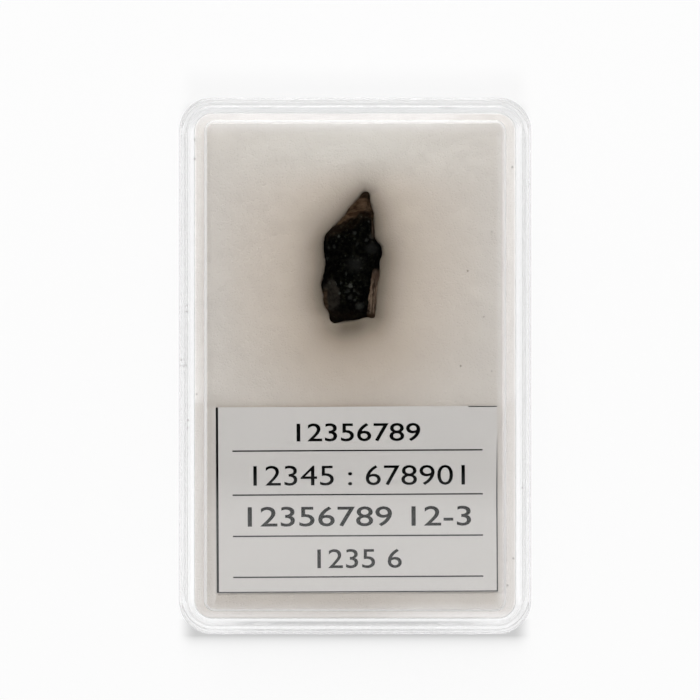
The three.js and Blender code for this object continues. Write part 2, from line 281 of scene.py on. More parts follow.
LARGEST_WORD = 0xFFFFFFFF


def scrambled(cells, seed):
    """A repeatable random level from -1 to 1 for each whole-number cell."""
    mixed = cells[..., 0] * 73856093 ^ cells[..., 1] * 19349663 ^ cells[..., 2] * 83492791
    mixed = (mixed ^ seed * 2654435761) & LARGEST_WORD
    for shift, factor in ((15, 2246822519), (13, 3266489917)):
        mixed = ((mixed ^ (mixed >> shift)) * factor) & LARGEST_WORD
    return (mixed ^ (mixed >> 16)) / (LARGEST_WORD // 2) - 1.0


def lattice_noise(places, cell, seed):
    """Value noise: random levels at the corners of a cubic lattice, blended by a smoothstep each way."""
    scaled = places / cell
    corner = np.floor(scaled).astype(np.int64)
    share = scaled - corner
    share = share * share * (3 - 2 * share)
    total = np.zeros(places.shape[:-1])
    for offset in np.ndindex(2, 2, 2):
        weight = np.where(np.array(offset) == 1, share, 1 - share).prod(axis=-1)
        total += weight * scrambled(corner + offset, seed)
    return total


def rough_noise(places, cell, seed, layers=3):
    """Layered value noise: each layer has half the cell and half the height of the one before."""
    return sum(
        lattice_noise(places, cell / 2 ** layer, seed + layer) / 2 ** layer
        for layer in range(layers)
    )


def smooth_step(value, start, end):
    """0 before start, 1 after end, and a smooth S between."""
    share = np.clip((value - start) / (end - start), 0, 1)
    return share * share * (3 - 2 * share)


def falling_step(value, start, end):
    """1 before start, 0 after end, and a smooth S between."""
    return smooth_step(-value, -end, -start)


# ---------------- the clear case

def case_outline(inset, narrower):
    """The case's rounded rectangle, drawn inset: quarter circles joined by straight sides.

    The radius shrinks with the inset, so that walls keep their thickness round the corners. The long sides
    can be drawn in a little further.
    """
    radius = max(CASE_CORNER - inset, LEAST_CORNER)
    reach = np.array([HALF_WIDTH - inset - narrower - radius, HALF_LENGTH - inset - radius])
    signs = np.array([[1, 1], [-1, 1], [-1, -1], [1, -1]])
    sides = []
    for quarter, sign in enumerate(signs):
        angle = (quarter + np.linspace(0, 1, CORNER_STEPS)) * (math.pi / 2)
        turned = radius * np.stack([np.cos(angle), np.sin(angle)], axis=-1)
        arc = sign * reach + turned
        next_start = signs[(quarter + 1) % 4] * reach + turned[-1]
        share = np.linspace(0, 1, SIDE_STEPS[quarter % 2] + 1)[1:-1, None]
        sides += [arc, arc[-1] + (next_start - arc[-1]) * share]
    return np.concatenate(sides)


def rounded_section(corners):
    """A section's polyline with its corners turned into short arcs, and a support point beside each arc.

    Each corner is inset, height and radius. The arc is a quadratic curve from one radius before the
    corner to one radius after it.
    """
    arc_points, support_share = 7, 0.35
    path = []
    places = np.array([corner[:2] for corner in corners], dtype=float)
    for number, (inset, height, radius) in enumerate(corners):
        here = np.array([inset, height], dtype=float)
        if number in (0, len(corners) - 1) or radius == 0:
            path.append(here[None])
            continue
        before, after = places[number - 1] - here, places[number + 1] - here
        before, after = before / np.hypot(*before), after / np.hypot(*after)
        share = np.linspace(0, 1, arc_points)[:, None]
        start, end = here + before * radius, here + after * radius
        arc = start * (1 - share) ** 2 + 2 * here * share * (1 - share) + end * share ** 2
        support = radius * support_share
        path += [start[None] + before * support, arc, end[None] + after * support]
    return np.concatenate(path)


def moulding(section, narrower=0.0):
    """Carries a section of insets and heights round the case's outline: one ring for each section point.

    The rings well inside the rim, which belong to the panel, are narrower.
    """
    panel_from = PANEL_INSET - 0.4
    rings = []
    for inset, height in section:
        outline = case_outline(inset, narrower if inset > panel_from else 0.0)
        rings.append(np.column_stack([outline, np.full(len(outline), height)]))
    return np.stack(rings)


def raise_nubs(grid):
    """Swells the tray's upper wall by a low dome at four places on its short sides, to grip the skirt."""
    on_wall = np.abs(np.abs(grid[..., 1]) - (HALF_LENGTH - WALL_OUTSIDE)) < 0.01
    nub_level = TRAY_HIGH[2] - NUB_DROP
    apart = np.hypot(np.abs(grid[..., 0]) - NUB_X, grid[..., 2] - nub_level) / NUB_RADIUS
    swelling = NUB_PROUD * np.clip(1 - apart ** 2, 0, 1) ** 0.5
    grid[..., 1] += np.where(on_wall, np.sign(grid[..., 1]) * swelling, 0)
    return grid


def make_case_base(material):
    """The tray: floor, cavity, rim, thin upper wall, ledge and the thick lower wall down to its foot."""
    rim = TRAY_HIGH[2]
    top_margin, foot_margin = 0.3, 0.2
    wall_levels = np.linspace(rim - top_margin, LEDGE + foot_margin, WALL_ROWS)
    inside = rounded_section([
        (FAN_INSET, TRAY_FLOOR, 0),
        (CAVITY_INSET, TRAY_FLOOR, CAVITY_ROUND),
        (CAVITY_INSET, rim, WALL_TOP_INNER_ROUND),
        (WALL_OUTSIDE, rim, WALL_TOP_ROUND),
        (WALL_OUTSIDE, wall_levels[0], 0),
    ])
    upper_wall = [(WALL_OUTSIDE, level) for level in wall_levels]
    lower_wall = rounded_section([
        (WALL_OUTSIDE, wall_levels[-1], 0),
        (WALL_OUTSIDE, LEDGE, CREASE),
        (0, LEDGE, CREASE),
        (0, 0, EDGE_ROUND),
        (FAN_INSET, 0, 0),
    ])
    grid = raise_nubs(moulding(np.concatenate([inside[:-1], upper_wall, lower_wall[1:]])))
    points, faces = joined_rings(grid, (0, 0, TRAY_FLOOR), (0, 0, 0))
    return make_piece("case_base", points, faces, [material])


def lid_section(top, rim):
    """The lid's section, from its panel over the rim and down the skirt, and back up its inner side."""
    half_draft = PANEL_DRAFT / 2
    inner_step = PANEL_INSET - INNER_STEP_OUT
    return rounded_section([
        (FAN_INSET, top, 0),
        (PANEL_INSET + half_draft, top, PANEL_ROUND),
        (PANEL_INSET - half_draft, rim, PANEL_ROUND),
        (0, rim, EDGE_ROUND),
        (0, LID_LOW[2], CREASE),
        (SKIRT, LID_LOW[2], CREASE),
        (SKIRT, rim - PANEL_THICKNESS, SKIRT_ROOT_ROUND),
        (inner_step, rim - PANEL_THICKNESS, PANEL_ROUND),
        (inner_step + INNER_STEP_DRAFT, top - PANEL_THICKNESS, PANEL_ROUND),
        (FAN_INSET, top - PANEL_THICKNESS, 0),
    ])


def make_case_lid(clear, hazy, frosted):
    """The lid: its section carried round the case.

    The panel is clear, the rim and the skirt round it are a little hazy, and the panel's edge is frosted
    whitish
    as a painted highlight: it stands in for the bright line along the clear edge.
    """
    top, rim = LID_HIGH[2], LID_HIGH[2] - PANEL_RISE
    grid = moulding(lid_section(top, rim), PANEL_NARROWER)
    points, faces = joined_rings(grid, (0, 0, top), (0, 0, top - PANEL_THICKNESS))
    piece = make_piece("case_lid_clear", points, faces, [clear, hazy, frosted])
    from_middle = np.abs(points[:, :2])
    in_panel = (from_middle < (HALF_WIDTH - PANEL_INSET, HALF_LENGTH - PANEL_INSET)).all(axis=1)
    margin = 0.04
    on_edge = (points[:, 2] > rim + margin) & (points[:, 2] < top - margin)
    slots = [2 if on_edge[face].any() else int(not in_panel[face].all()) for face in faces]
    piece.data.polygons.foreach_set("material_index", slots)
    return piece


# ---------------- the stone

def outline_bearings():
    """The stone's outline about its middle, as points and as bearings and reaches in bearing order.

    A closed centripetal Catmull-Rom curve through the outline's points, sampled evenly in each span.
    """
    here = STONE_OUTLINE
    before, after, later = (np.roll(here, shift, axis=0) for shift in (1, -1, -2))
    first, middle, last = (
        np.sqrt(np.hypot(*(end - start).T))[:, None]
        for start, end in ((before, here), (here, after), (after, later))
    )
    leave = (here - before) / first - (after - before) / (first + middle) + (after - here) / middle
    arrive = (after - here) / middle - (later - here) / (middle + last) + (later - after) / last
    leave, arrive = leave * middle, arrive * middle
    share = np.linspace(0, 1, OUTLINE_SPAN_STEPS, endpoint=False)[None, :, None]
    squared, cubed = share ** 2, share ** 3
    curve = (
        (2 * cubed - 3 * squared + 1) * here[:, None]
        + (cubed - 2 * squared + share) * leave[:, None]
        + (3 * squared - 2 * cubed) * after[:, None]
        + (cubed - squared) * arrive[:, None]
    ).reshape(-1, 2) - STONE_MIDDLE
    bearing = np.arctan2(curve[:, 1], curve[:, 0])
    order = np.argsort(bearing)
    return curve, bearing[order], np.hypot(curve[:, 0], curve[:, 1])[order]


CURVE, BEARINGS, REACHES = outline_bearings()


def stone_reach(angle):
    """How far the stone's outline is from its middle along a bearing."""
    return np.interp(angle, BEARINGS, REACHES, period=2 * math.pi)


def press_on_faces(points):
    """Moves each point that stands proud of a broken face straight back onto it, one face at a time."""
    for place, direction in STONE_FACES:
        normal = np.array(direction) / np.linalg.norm(direction)
        proud = np.clip((points - np.array(place)) @ normal, 0, None)
        points = points - proud[..., None] * normal
    return points


def swellings(x, y, spots):
    """Sum of smooth round swellings: each is its height times (1 - (distance / radius) squared) squared."""
    total = np.zeros_like(x)
    for middle_x, middle_y, radius, height in spots:
        apart = np.hypot(x - middle_x, y - middle_y) / radius
        total += height * np.clip(1 - apart ** 2, 0, None) ** 2
    return total


def grid_normals(grid):
    """Unit normals of a grid that closes on itself along its second direction."""
    along = np.gradient(grid, axis=0)
    around = np.roll(grid, -1, axis=1) - np.roll(grid, 1, axis=1)
    normal = np.cross(along, around)
    return normal / np.maximum(np.linalg.norm(normal, axis=-1, keepdims=True), 1e-9)


def stone_grid():
    """The stone's surface, from its highest point down to its lowest.

    At a bearing and a latitude the outline shrinks to the middle as a power of the latitude's cosine and
    the height grows as a power of its sine. The broken faces cut it flat, and lumps swell the upper side.
    """
    bearing = -math.pi + (np.arange(STONE_STEPS) + 0.5) * (2 * math.pi / STONE_STEPS)
    pole = 0.99 * (math.pi / 2)
    upper = np.linspace(pole, 0, STONE_RINGS[0], endpoint=False)
    lower = np.linspace(0, -pole, STONE_RINGS[1])
    latitude, bearing = np.meshgrid(np.concatenate([upper, lower]), bearing, indexing="ij")
    is_upper = latitude >= 0
    rounding = np.where(is_upper, SHOULDER_ROUNDING, BELLY_ROUNDING)
    reach = stone_reach(bearing) * np.cos(latitude) ** rounding
    lift = np.abs(np.sin(latitude)) ** np.where(is_upper, 1, rounding)
    height = np.where(is_upper, STONE_RISE, -STONE_DROP) * lift
    grid = np.stack([
        STONE_MIDDLE[0] + reach * np.cos(bearing),
        STONE_MIDDLE[1] + reach * np.sin(bearing),
        STONE_RIM_LEVEL + height,
    ], axis=-1)
    grid = press_on_faces(grid)
    grid[..., 2] += np.where(is_upper, lift * swellings(grid[..., 0], grid[..., 1], STONE_LUMPS), 0)
    return grid


def roughen_stone(grid):
    """Pushes the surface in and out along its normals by layered noise: broad waves, then fine grain."""
    waves = WAVE_HEIGHT * rough_noise(grid, WAVE_SIZE, seed=11)
    grain = GRAIN_HEIGHT * rough_noise(grid, GRAIN_SIZE, seed=37)
    return grid + grid_normals(grid) * (waves + grain - ROUGHNESS_SUNK)[..., None]


def under_panel(height):
    """The heights, eased down near the lid's inner face so that the stone stays clear of it.

    Past a start the height goes on as a hyperbolic tangent that levels out at the ceiling.
    """
    start = STONE_CEILING - CEILING_ROOM
    return np.where(height > start, start + CEILING_ROOM * np.tanh((height - start) / CEILING_ROOM), height)


def make_stone(material):
    """The stone's mesh, with where it is pale, weathered, streaked and bruised kept as attributes."""
    grid = roughen_stone(stone_grid())
    grid[..., 2] = under_panel(grid[..., 2])
    points, faces = joined_rings(grid, grid[0].mean(axis=0), grid[-1].mean(axis=0))
    piece = make_piece("meteorite_stone", points, faces, [material])
    x, y, z = points.T
    waver = 0.3 * rough_noise(points, 0.9, seed=5)
    drift_x, drift_y = (0.14 * rough_noise(points, 0.35, seed, layers=2) for seed in (61, 67))
    add_attributes(
        piece,
        pale=pale_share(x + drift_x, y + drift_y) * (z > STONE_RIM_LEVEL),
        weathered=weathered_share(x, y, z, waver),
        streaked=streaked_share(x, y, waver),
        bruised=bruised_share(x, y, waver),
    )
    return piece


def pale_share(x, y):
    """The paleness of the palest grain at each place: flat inside a grain, with a soft edge."""
    total = np.zeros_like(x)
    for middle_x, middle_y, radius, level in STONE_GRAINS:
        apart = np.hypot(x - middle_x, y - middle_y) / radius
        total = np.maximum(total, 0.75 * level * (1 - smooth_step(apart, 0.3, 1.4)))
    return total


def weathered_share(x, y, z, waver):
    """How brown the skin is, as the brownest of six marks with soft and wavering edges.

    The marks are the face past the ridge, greyer at its very tip, the left edge, the flanks in the foam,
    the lower right corner, the lower end and the rim on the right.
    """
    along = -0.42 * x + 0.91 * y + waver
    past_ridge = 0.13 * smooth_step(along, 14.8, 15.8) + 0.87 * smooth_step(along, 16.1, 16.6)
    past_ridge *= 1 - 0.6 * smooth_step(y + waver, 19.8, 20.2)
    left_edge = 0.85 * falling_step(x - 0.5 * waver, -3.5, -3.1) * falling_step(y, 8.8, 9.4)
    flanks = 0.5 * falling_step(z, 11.6, 12.6)
    corner = 0.9 * smooth_step(x, 1.3, 1.6) * falling_step(y, 6.3, 6.6)
    lower_end = 0.11 * falling_step(y - 0.5 * waver, 6.2, 6.9)
    right_rim = 0.45 * smooth_step(x + 0.3 * waver, 1.85, 2.05) * smooth_step(y, 15.0, 15.6)
    marks = [past_ridge, left_edge, flanks, corner, lower_end, right_rim]
    return np.clip(np.maximum.reduce(marks), 0, 1)


def streaked_share(x, y, waver):
    """1 on the tan strip low on the right side, and 0.7 on the thin tan rim above the right lobe.

    The strip's left edge leans to the right with the height on the stone, and more so past its upper end.
    """
    lean = 0.08 + 0.1 * (y - 6.2) + 0.2 * np.clip(y - 10.4, 0, None)
    strip = smooth_step(x - lean + 0.35 * waver, 1.28, 1.48)
    strip *= falling_step(y, 11.2, 11.8) * smooth_step(y, 6.15, 6.4)
    rim = 0.7 * smooth_step(x + 0.2 * waver, 1.95, 2.1)
    rim *= smooth_step(y, 15.4, 15.9) * falling_step(y, 17.0, 17.6)
    return np.maximum(strip, rim)


def bruised_share(x, y, waver):
    """1 on the purplish grey patch at the lower left, an ellipse with a wavering edge."""
    (middle_x, middle_y), (half_width, half_length) = (-2.95, 8.4), (1.1, 2.0)
    apart = np.hypot((x - middle_x) / half_width, (y - middle_y) / half_length)
    return falling_step(apart + 0.5 * waver, 0.75, 1.1)


# ---------------- the foam pad

def pad_half_width(y):
    """The pad's half width along its length: full, and drawn in by a quarter circle at each end."""
    into_corner = np.clip(np.abs(y) - (PAD_HALF_LENGTH - PAD_CORNER), 0, PAD_CORNER)
    return PAD_HALF_WIDTH - PAD_CORNER + np.sqrt(np.clip(PAD_CORNER ** 2 - into_corner ** 2, 0, None))


def edge_distance(x, y):
    """How far a place is inside the pad's rounded rectangle."""
    beyond_x = np.abs(x) - (PAD_HALF_WIDTH - PAD_CORNER)
    beyond_y = np.abs(y) - (PAD_HALF_LENGTH - PAD_CORNER)
    outside = np.hypot(np.clip(beyond_x, 0, None), np.clip(beyond_y, 0, None))
    return PAD_CORNER - outside - np.minimum(np.maximum(beyond_x, beyond_y), 0)


def stone_distance(x, y):
    """How far a place is outside the stone's outline, negative inside it, with its creases smoothed away.

    The outline's short lengths h are summed as h / distance to the fourth power. For a straight line that
    sum is (pi / 2) / distance cubed, so the distance is the cube root of (pi / 2) / sum.
    """
    offset_x, offset_y = x - STONE_MIDDLE[0], y - STONE_MIDDLE[1]
    corners = CURVE[::3]
    lengths = np.hypot(*(np.roll(corners, -1, axis=0) - np.roll(corners, 1, axis=0)).T) / 2
    total = np.zeros(x.shape)
    for (corner_x, corner_y), length in zip(corners, lengths):
        total += length / ((offset_x - corner_x) ** 2 + (offset_y - corner_y) ** 2 + 1e-4) ** 2
    outside = np.hypot(offset_x, offset_y) > stone_reach(np.arctan2(offset_y, offset_x))
    return np.cbrt(math.pi / 2 / total) * np.where(outside, 1, -1)


def pad_level(x, y):
    """The pad's top: level and a little wavy away from the label, with its edge, its dent and its pocket.

    The edge is rounded down as a quarter circle. The dent round the stone is an exponential of the distance,
    and under the stone the pocket's wall drops in proportion to the distance inside its outline.
    """
    distance = stone_distance(x, y)
    level = PAD_HIGH[2] - DENT_DEPTH * np.exp(-np.clip(distance, 0, None) / DENT_REACH)
    places = np.stack([x, y, np.zeros_like(x)], axis=-1)
    under_label = smooth_step(-y, 4.0, 7.0)
    level += (1 - under_label) * TOP_WAVE_HEIGHT * rough_noise(places, TOP_WAVE_SIZE, seed=71)
    inside = np.clip(edge_distance(x, y), 0, PAD_EDGE)
    level -= PAD_EDGE - np.sqrt(np.clip(PAD_EDGE ** 2 - (PAD_EDGE - inside) ** 2, 0, None))
    return level - np.clip(-distance * POCKET_SLOPE, 0, POCKET_DEPTH)


def crowded_line(half, edge, step):
    """Places from -half to half that keep a step in the middle and crowd as a sine towards both ends."""
    count = int((half - edge) / step)
    middle = np.linspace(-(half - edge), half - edge, 2 * count + 1)
    angle = np.linspace(0, math.pi / 2, PAD_END_STEPS)[1:]
    end = half - edge + edge * np.sin(angle)
    return np.concatenate([-end[::-1], middle, end])


def pad_top():
    """A grid of points over the pad's top, as wide everywhere as the pad is there."""
    lines_y = crowded_line(PAD_HALF_LENGTH, PAD_CORNER, PAD_STEP)
    lines_x = crowded_line(1.0, PAD_EDGE / PAD_HALF_WIDTH, PAD_STEP / PAD_HALF_WIDTH)
    share, y = np.meshgrid(lines_x, lines_y)
    x = share * pad_half_width(y)
    return np.stack([x, y, pad_level(x, y)], axis=-1)


def pad_sides(rim):
    """Rings of points in even levels from the rim down to the pad's underside, drawn in by layered noise."""
    levels = np.linspace(0, 1, PAD_SIDE_LEVELS)[1:, None]
    height = rim[None, :, 2] + (PAD_LOW[2] - rim[None, :, 2]) * levels
    sides = np.stack(np.broadcast_arrays(rim[None, :, 0], rim[None, :, 1], height), axis=-1)
    outward = rim[:, :2] / np.linalg.norm(rim[:, :2], axis=-1, keepdims=True)
    waves = SIDE_WAVE_HEIGHT * rough_noise(sides, SIDE_WAVE_SIZE, seed=90) - SIDE_DRAWN_IN
    sides[..., :2] += waves[..., None] * outward
    return sides


def make_pad(material):
    """The pad: a grid over its top, whose border is carried down its sides and closed underneath."""
    top = pad_top()
    rows, columns = top.shape[:2]
    index = np.arange(rows * columns).reshape(rows, columns)
    squares = np.stack([index[:-1, :-1], index[:-1, 1:], index[1:, 1:], index[1:, :-1]], axis=-1)
    border = np.concatenate([index[0], index[1:, -1], index[-1, -2::-1], index[-2:0:-1, 0]])
    sides = pad_sides(top.reshape(-1, 3)[border])
    side_index = index.size + np.arange(sides.shape[0] * len(border)).reshape(-1, len(border))
    rings = np.concatenate([border[None], side_index])
    underside = ring_fan(rings[-1], index.size + side_index.size, turned=True)
    points = np.concatenate([top.reshape(-1, 3), sides.reshape(-1, 3), [[0, 0, PAD_LOW[2]]]])
    faces = squares.reshape(-1, 4).tolist() + ring_bands(rings) + underside
    piece = make_piece("foam_cushion", points, faces, [material])
    mark_pad(piece, points[:, 0], points[:, 1])
    return piece


def mark_pad(piece, x, y):
    """Stores at each place the foam's stain and painted shade, its painted contact shade, its warmth and its
    painted light.

    The warmth is a bell curve of the distance from the stain's middle, cut off near the long sides. The
    painted light at the far end is a bell curve across that end.
    """
    away = np.clip(stone_distance(x, y + STAIN_AND_SHADOW_SHIFT), 0, None)
    add_attributes(
        piece,
        stained=stained_share(x, y, away),
        close=close_share(x, y),
        warm=np.exp(-(away / 11.0) ** 2) * smooth_step(17.5 - np.abs(x), 0, 4),
        # Painted light: the foam is painted lighter across its far end.
        light=smooth_step(y, 20, 26.5) * np.exp(-(x / 17) ** 2),
        clean=clean_share(x, y),
    )


def stained_share(x, y, away):
    """How brown and dark the foam is: the sum of three marks, brown stain with painted shade.

    One fades as exp(-away / 4.2 mm) from the stone, weaker past its pointed end: a stain with painted shade.
    One is a bell curve across the pad below the stone, down to the near end: a stain with the stone's
    painted shadow. One is a narrow line of painted shade along the label's upper edge, which fades as
    exp(-distance / 0.5 mm).
    """
    past_tip = smooth_step(y, 17, 22.5)
    # round_stone and below are brown stain with painted shade; the line along the label is painted shade.
    round_stone = 0.52 * (1 - 0.55 * past_tip) * np.exp(-away / 4.2)
    below = np.exp(-(x / 9.5) ** 2) * smooth_step(-y, -6, -1)
    below *= 0.17 * (1 - 0.6 * smooth_step(-y, 26, 27.5))
    above_label = np.clip(y - LABEL_HIGH[1], 0, None)
    shade_along_label = (0.3 - 0.15 * smooth_step(x, 0, 10)) * np.exp(-above_label / 0.5)
    return np.clip(round_stone + below + shade_along_label, 0, 0.75)


def close_share(x, y):
    """Painted contact shade: how dark the foam is painted near the stone, exp(-(distance / 1.95 mm) ** 1.5).

    It is weaker at the pointed end and at the lower left, and below the stone it is stronger on the left.
    """
    nearby = np.clip(stone_distance(x, y + CONTACT_SHADE_SHIFT), 0, None)
    at_tip = smooth_step(y, 17, 22.5)
    at_lower_left = smooth_step(-x, 1, 3) * smooth_step(-y, -7, -5)
    under = smooth_step(-y, -6.0, -4.5)
    strength = 0.62 - 0.08 * at_tip - 0.3 * at_lower_left + (0.14 - 0.28 * smooth_step(x, 0.0, 2.5)) * under
    return strength * np.exp(-(nearby / 1.95) ** 1.5)


def clean_share(x, y):
    """Painted light: how much lighter the foam is painted by its edges and the label, the strongest of six
    strips.
    """
    far_side = smooth_step(y, 27.4, 29.8) * (0.75 - 0.1 * (x / 17) ** 2 - 0.35 * smooth_step(x, 8, 16))
    near_side = 0.45 * smooth_step(-y, 28.1, 29.0) + 0.15 * smooth_step(-y, 29.0, 29.3)
    near_side += 0.4 * smooth_step(-y, 29.6, 29.7)
    beside_label = smooth_step(-y, -6, 14)
    right_side = (0.32 + 0.14 * beside_label) * smooth_step(x, 16.6, 17.6)
    left_side = 0.24 * smooth_step(-x, 17.9, 18.8) + 0.4 * beside_label * smooth_step(-x, 17.4, 18.2)
    left_of_label = np.clip(LABEL_LOW[0] - x, 0, None)
    near_label = smooth_step(-y, 4.4, 5.2) * (0.3 + 0.35 * np.exp(-left_of_label / 0.4)) * (x < LABEL_LOW[0])
    very_edge = 1 - smooth_step(edge_distance(x, y), 0.06, 0.14)
    return np.maximum.reduce([far_side, near_side, right_side, left_side, near_label, very_edge])


# ---------------- the label

def bar(left, bottom, right, top):
    """The four corners of an upright bar, anticlockwise."""
    return np.array([[left, bottom], [right, bottom], [right, top], [left, top]])


def dotted_outline(corners):
    """A shape's corners, with points about 1 mm apart along its sides so that it bends with the sheet."""
    sides = []
    for start, end in zip(corners, np.roll(corners, -1, axis=0)):
        count = max(int(np.hypot(*(end - start))), 1)
        sides.append(start + (end - start) * np.arange(count)[:, None] / count)
    outline = np.concatenate(sides)
    return outline, [list(range(len(outline)))]


def label_bars():
    """The printed border, cut short along the top, and the four ruled lines, about the label's middle.

    The sheet's cut runs into the right border, which thins towards its upper end.
    """
    half_x, half_y = LABEL_WIDTH / 2, LABEL_HEIGHT / 2
    left, right, low = -half_x + LEFT_MARGIN, half_x - RIGHT_MARGIN, -half_y + BOTTOM_MARGIN
    thins, ends = half_y - BORDER_THINS, half_y - BORDER_ENDS
    thinning = [[right - RIGHT_BORDER_WIDTH, thins], [right, thins], [right, ends], [right - 0.01, ends]]
    borders = [
        bar(left, low, left + LEFT_BORDER_WIDTH, half_y),
        bar(right - RIGHT_BORDER_WIDTH, low, right, thins),
        np.array(thinning),
        bar(left, low, right, low + BOTTOM_BORDER_WIDTH),
        bar(right - TOP_BORDER_LENGTH, half_y - TOP_BORDER_WIDTH, right, half_y),
    ]
    rule_ends = RULE_MIDDLE - RULE_HALF_LENGTH, RULE_MIDDLE + RULE_HALF_LENGTH
    rules = [
        bar(rule_ends[0], level - RULE_WIDTH / 2, rule_ends[1], level + RULE_WIDTH / 2)
        for level in RULE_LEVELS
    ]
    return borders + rules


def number_shapes(text, middle_x, middle_y, width, height, swell):
    """A row of plain numbers as flat faces, stretched to its width and height about its middle."""
    curve = bpy.data.curves.new("numbers", "FONT")
    curve.body = text
    curve.resolution_u = 4
    curve.offset = swell
    source = linked_object("numbers", curve)
    mesh = bpy.data.meshes.new_from_object(source)
    points = np.array([vertex.co[:2] for vertex in mesh.vertices])
    faces = [list(polygon.vertices) for polygon in mesh.polygons if polygon.area > 1e-6]
    low, high = points.min(axis=0), points.max(axis=0)
    points = (points - (low + high) / 2) / (high - low) * (width, height) + (middle_x, middle_y)
    bpy.data.objects.remove(source)
    bpy.data.curves.remove(curve)
    bpy.data.meshes.remove(mesh)
    return points, faces


def label_plan():
    """Every flat shape on the label, the sheet and then the ink, and a grid of points to bend it by."""
    half_x, half_y = LABEL_WIDTH / 2, LABEL_HEIGHT / 2
    sheet = bar(-half_x, -half_y, half_x, half_y)
    shapes = [dotted_outline(corners) for corners in [sheet] + label_bars()]
    shapes += [number_shapes(*row) for row in NUMBER_ROWS]
    points, faces, count = [], [], 0
    for corners, outlines in shapes:
        points.append(corners)
        faces += [[count + corner for corner in outline] for outline in outlines]
        count += len(corners)
    bend_x = np.linspace(-half_x, half_x, LABEL_BENDS[0])[1:-1]
    bend_y = np.linspace(-half_y, half_y, LABEL_BENDS[1])[1:-1]
    points.append(np.stack(np.meshgrid(bend_x, bend_y), axis=-1).reshape(-1, 2))
    return np.concatenate(points), faces


def label_level(x, y):
    """The sheet's height: nearly flat, its left edge and one corner lifted a little, with a slow wave."""
    left_lift = 0.05 * smooth_step(-x, 10, 17)
    corner_lift = 0.06 * smooth_step(x - y, 18, 28)
    wave = 0.03 * np.sin(x * 0.35 + 1.0) * np.cos(y * 0.3)
    return LABEL_LOW[2] + LABEL_LIFT + left_lift + corner_lift + wave


def make_label(paper, ink):
    """One sheet of paper cut into ink and bare faces by a triangulation of everything printed on it."""
    plan, outlines = label_plan()
    flat = [Vector(point) for point in plan]
    found, _, triangles, _, _, sources = delaunay_2d_cdt(flat, [], outlines, 0, 1e-4)
    spots = np.array([point[:] for point in found])
    inked = [int(any(source > 0 for source in origin)) for origin in sources]
    cosine, sine = math.cos(LABEL_TURN), math.sin(LABEL_TURN)
    placed = spots @ np.array([[cosine, sine], [-sine, cosine]]) + LABEL_MIDDLE[:2]
    points = np.column_stack([placed, label_level(spots[:, 0], spots[:, 1])])
    piece = make_piece("label_sheet", points, [list(face) for face in triangles], [paper, ink])
    piece.data.shade_flat()
    piece.data.polygons.foreach_set("material_index", inked)
    thickness = piece.modifiers.new("card", "SOLIDIFY")
    thickness.thickness = LABEL_THICKNESS * MM
    thickness.offset = -1
    return piece


# ---------------- materials

